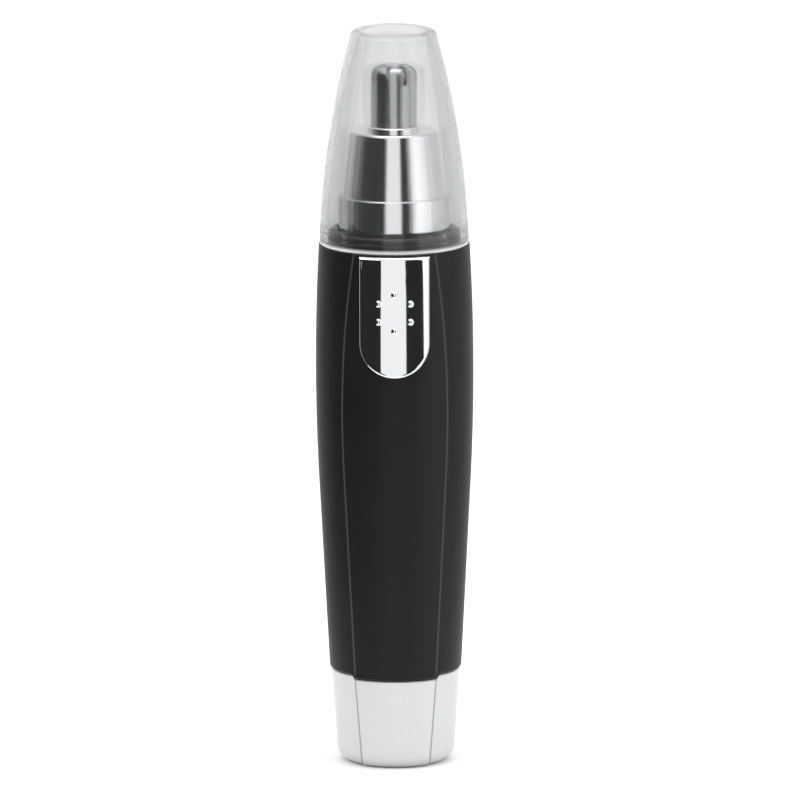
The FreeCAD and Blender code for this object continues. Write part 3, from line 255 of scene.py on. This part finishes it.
def printed_film():
    """The battery's jacket: shiny film with a plain band at its plus end."""
    material, tree, shader = new_material("printed_film")
    point = object_point(tree)
    parts = tree.nodes.new("ShaderNodeSeparateXYZ")
    tree.links.new(point, parts.inputs["Vector"])
    low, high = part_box("battery_jacket")
    edge = low.z + 0.78 * (high.z - low.z)
    band = remap(tree, parts.outputs["Z"], 0.0, 1.0, (edge, edge + 0.0002))
    colour = blend_colours(tree, band, (0.025, 0.045, 0.09), (0.55, 0.37, 0.12))
    tree.links.new(colour, shader.inputs["Base Color"])
    wrinkles = noise(tree, object_point(tree, (1, 1, 0.3)), 500.0, 2.0)
    tree.links.new(remap(tree, wrinkles, 0.22, 0.34), shader.inputs["Roughness"])
    bump(tree, shader, wrinkles, 0.00002)
    return material


def wound_copper():
    """Enamelled wire laid in rows round the armature's poles."""
    material, tree, shader = new_material("wound_copper")
    rows = tree.nodes.new("ShaderNodeTexWave")
    rows.bands_direction = "Z"
    rows.inputs["Scale"].default_value = 700.0
    rows.inputs["Distortion"].default_value = 0.6
    tree.links.new(object_point(tree), rows.inputs["Vector"])
    colour = blend_colours(tree, rows.outputs["Fac"], (0.30, 0.09, 0.03), (0.72, 0.30, 0.14))
    tree.links.new(colour, shader.inputs["Base Color"])
    settings(shader, Metallic=0.7, Roughness=0.32)
    bump(tree, shader, rows.outputs["Fac"], 0.00008)
    return material


def stacked_steel():
    """Thin steel sheets stacked up the armature's core."""
    material, tree, shader = new_material("stacked_steel")
    sheets = tree.nodes.new("ShaderNodeTexWave")
    sheets.bands_direction = "Z"
    sheets.inputs["Scale"].default_value = 320.0
    tree.links.new(object_point(tree), sheets.inputs["Vector"])
    colour = blend_colours(tree, sheets.outputs["Fac"], (0.12, 0.12, 0.125), (0.34, 0.34, 0.35))
    tree.links.new(colour, shader.inputs["Base Color"])
    settings(shader, Metallic=0.8, Roughness=0.42)
    bump(tree, shader, sheets.outputs["Fac"], 0.00004)
    return material


# How tool marks are stretched: drawn out up the part, turned round it, or neither.
DRAWN = (1, 1, 0.05)
TURNED = (0.08, 0.08, 1)
PLAIN = (1, 1, 1)

# Slot, darker and lighter colour, roughness from and to, tool marks' stretch and marks per metre.
METALS = [
    ("mirror_chrome", (0.80, 0.805, 0.815), (0.86, 0.865, 0.87), (0.03, 0.07), DRAWN, 900.0),
    ("cutter_steel", (0.42, 0.42, 0.425), (0.50, 0.50, 0.505), (0.2, 0.27), TURNED, 1400.0),
    ("spring_steel", (0.55, 0.55, 0.56), (0.64, 0.64, 0.64), (0.2, 0.3), PLAIN, 900.0),
    ("contact_brass", (0.60, 0.43, 0.18), (0.72, 0.55, 0.26), (0.2, 0.34), PLAIN, 900.0),
    ("screw_steel", (0.42, 0.42, 0.43), (0.52, 0.52, 0.52), (0.25, 0.38), PLAIN, 900.0),
    ("motor_steel", (0.46, 0.46, 0.46), (0.58, 0.58, 0.57), (0.28, 0.42), DRAWN, 900.0),
]

# Slot, material's name, darker and lighter colour, roughness from and to, and grain's depth in metres.
PLASTICS = [
    ("black_rubber", "black_rubber", (0.010, 0.010, 0.010), (0.02, 0.02, 0.02), (0.6, 0.75), 0.000012),
    ("collar_black", "collar_plastic", (0.012, 0.012, 0.013), (0.02, 0.02, 0.021), (0.22, 0.3), 0.000012),
    ("frame_grey", "frame_plastic", (0.07, 0.07, 0.075), (0.10, 0.10, 0.105), (0.45, 0.55), 0.000012),
    ("white_plastic", "white_nylon", (0.66, 0.65, 0.60), (0.74, 0.73, 0.69), (0.4, 0.5), 0.000012),
    ("magnet_dark", "ferrite", (0.05, 0.05, 0.052), (0.08, 0.08, 0.082), (0.5, 0.65), 0.00003),
    ("carbon_black", "carbon", (0.012, 0.012, 0.012), (0.03, 0.03, 0.03), (0.5, 0.7), 0.00003),
    ("lead_red", "lead_insulation", (0.36, 0.02, 0.02), (0.45, 0.03, 0.03), (0.35, 0.45), 0.000012),
    ("battery_filling", "packed_powder", (0.02, 0.02, 0.02), (0.04, 0.04, 0.04), (0.8, 0.9), 0.00006),
    ("battery_seal", "seal_nylon", (0.60, 0.60, 0.57), (0.68, 0.68, 0.65), (0.4, 0.5), 0.000012),
]


def make_materials():
    """One finished material for each material slot of the record."""
    materials = {
        "handle_black": handle_plastic(),
        "base_silver": flaked_silver(),
        "clear_plastic": clear_plastic(),
        "core_steel": stacked_steel(),
        "winding_copper": wound_copper(),
        "battery_jacket": printed_film(),
    }
    for slot, dark, light, roughness, stretch, grain in METALS:
        materials[slot] = metal(slot, dark, light, roughness, stretch, grain)
    for slot, name, dark, light, roughness, depth in PLASTICS:
        materials[slot] = moulded(name, dark, light, roughness, depth)
    return materials


def dress_nodes():
    """Gives each CAD node the material of its slot."""
    materials = make_materials()
    for subpart in frame["record"]["subparts"]:
        node = frame["nodes"][subpart["node"]]
        node.data.materials.clear()
        node.data.materials.append(materials[subpart["material_slot"]])


# ---- Studio ----

FLOOR_HALF = 8.0


def stage_sheet(name, verts, faces, material):
    """A sheet that belongs to the studio, not to the trimmer."""
    mesh = bpy.data.meshes.new(name)
    mesh.from_pydata(verts, [], faces)
    mesh.materials.append(material)
    sheet = bpy.data.objects.new(name, mesh)
    bpy.context.scene.collection.objects.link(sheet)
    return sheet


def floor_material():
    """Matt, nearly white paint."""
    material, tree, shader = new_material("pale_floor")
    slow = noise(tree, object_point(tree), 14.0, 3.0)
    colour = blend_colours(tree, slow, (0.86, 0.86, 0.86), (0.89, 0.89, 0.89))
    tree.links.new(colour, shader.inputs["Base Color"])
    settings(shader, Roughness=0.9, Specular_IOR_Level=0.1)
    return material


def make_floor():
    """The plain floor that the trimmer stands on."""
    half = FLOOR_HALF
    corners = [(-half, -half, 0), (half, -half, 0), (half, half, 0), (-half, half, 0)]
    stage_sheet("floor", corners, [(0, 1, 2, 3)], floor_material())


def card_material(name, brightness):
    """A plain sheet of the studio, which gives off its own brightness and takes no other light."""
    material = bpy.data.materials.new(name)
    material.use_nodes = True
    tree = material.node_tree
    tree.nodes.clear()
    glow = tree.nodes.new("ShaderNodeEmission")
    glow.inputs["Color"].default_value = (1, 1, 1, 1)
    glow.inputs["Strength"].default_value = brightness
    output = tree.nodes.new("ShaderNodeOutputMaterial")
    tree.links.new(glow.outputs["Emission"], output.inputs["Surface"])
    return material


# Each card lies on the floor from CARD_FOOT to CARD_DISTANCE off the trimmer, and stands up from there.
CARD_FOOT = 0.10
CARD_DISTANCE = 0.42
CARD_HEIGHT = 0.50
CARD_LIFT = 0.0005
CARD_STEPS = 12

# Name, brightness, and azimuths from and to in degrees: 0 is the front, and positive is to the right.
CARDS = [
    ("card_front", 1.04, -17.5, 14.5),
    ("card_front_right", 0.024, 14.5, 38),
    ("card_side_right", 1.35, 38, 80),
    ("card_back_right", 0.62, 80, 140),
    ("card_back", 0.86, 140, 218),
    ("card_back_left", 0.55, 218, 252),
    ("card_front_left", 0.024, 252, 342.5),
]


def make_cards():
    """Curved screens round the trimmer, which show only in its polished faces and through its cap."""
    profile = [(CARD_FOOT, CARD_LIFT), (CARD_DISTANCE, CARD_LIFT), (CARD_DISTANCE, CARD_HEIGHT)]
    rows = len(profile)
    for name, brightness, start, end in CARDS:
        verts, faces = [], []
        for step in range(CARD_STEPS + 1):
            angle = math.radians(start + (end - start) * step / CARD_STEPS)
            verts += [(math.sin(angle) * far, -math.cos(angle) * far, up) for far, up in profile]
        for step in range(CARD_STEPS):
            for row in range(rows - 1):
                first = rows * step + row
                faces.append((first, first + rows, first + rows + 1, first + 1))
        card = stage_sheet(name, verts, faces, card_material(name, brightness))
        card.visible_camera = False
        card.visible_diffuse = False
        card.visible_shadow = False


# Name, place, side in metres and power in watts of each square lamp. All point at LAMP_TARGET.
LAMP_TARGET = (0, 0, 0.07)
LAMPS = [
    ("key_left", (-0.9, -0.9, 1.1), 0.8, 7.0),
    ("fill_right", (1.1, -0.5, 0.8), 0.8, 5.0),
    ("top", (0, 0.1, 1.4), 1.0, 6.0),
]


def area_light(name, place, side, power):
    """A square lamp at a place, pointed at the middle of the trimmer."""
    data = bpy.data.lights.new(name, "AREA")
    data.shape = "RECTANGLE"
    data.size = side
    data.size_y = side
    data.energy = power
    light = bpy.data.objects.new(name, data)
    light.location = place
    aim = Vector(LAMP_TARGET) - Vector(place)
    light.rotation_euler = aim.to_track_quat("-Z", "Y").to_euler()
    bpy.context.scene.collection.objects.link(light)


def make_lights():
    """White surroundings and the soft lamps."""
    world = bpy.data.worlds.new("studio")
    world.use_nodes = True
    background = world.node_tree.nodes["Background"]
    background.inputs["Color"].default_value = (1, 1, 1, 1)
    background.inputs["Strength"].default_value = 1.0
    bpy.context.scene.world = world
    for name, place, side, power in LAMPS:
        area_light(name, place, side, power)


# ---- Camera ----

# The camera stands far off in front and a little above, and leans by CAMERA_ROLL degrees.
CAMERA_DISTANCE = 3.0
CAMERA_HEIGHT = 0.6333
CAMERA_AIM = (0.00095, 0, 0.06655)
CAMERA_ROLL = 0.185
CAMERA_LENS = 754.6


def make_camera():
    """A long lens at the photo's viewing angle."""
    data = bpy.data.cameras.new("camera")
    data.lens = CAMERA_LENS
    data.sensor_width = 36.0
    data.clip_start = 0.01
    data.clip_end = 50
    camera = bpy.data.objects.new("camera", data)
    place = Vector((0, -CAMERA_DISTANCE, CAMERA_HEIGHT))
    turn = (Vector(CAMERA_AIM) - place).to_track_quat("-Z", "Y")
    roll = Quaternion((0, 0, 1), math.radians(-CAMERA_ROLL))
    camera.location = place
    camera.rotation_euler = (turn @ roll).to_euler()
    bpy.context.scene.collection.objects.link(camera)
    bpy.context.scene.camera = camera


dress_nodes()
make_floor()
make_cards()
make_lights()
make_camera()
bpy.context.scene.view_settings.view_transform = "Standard"
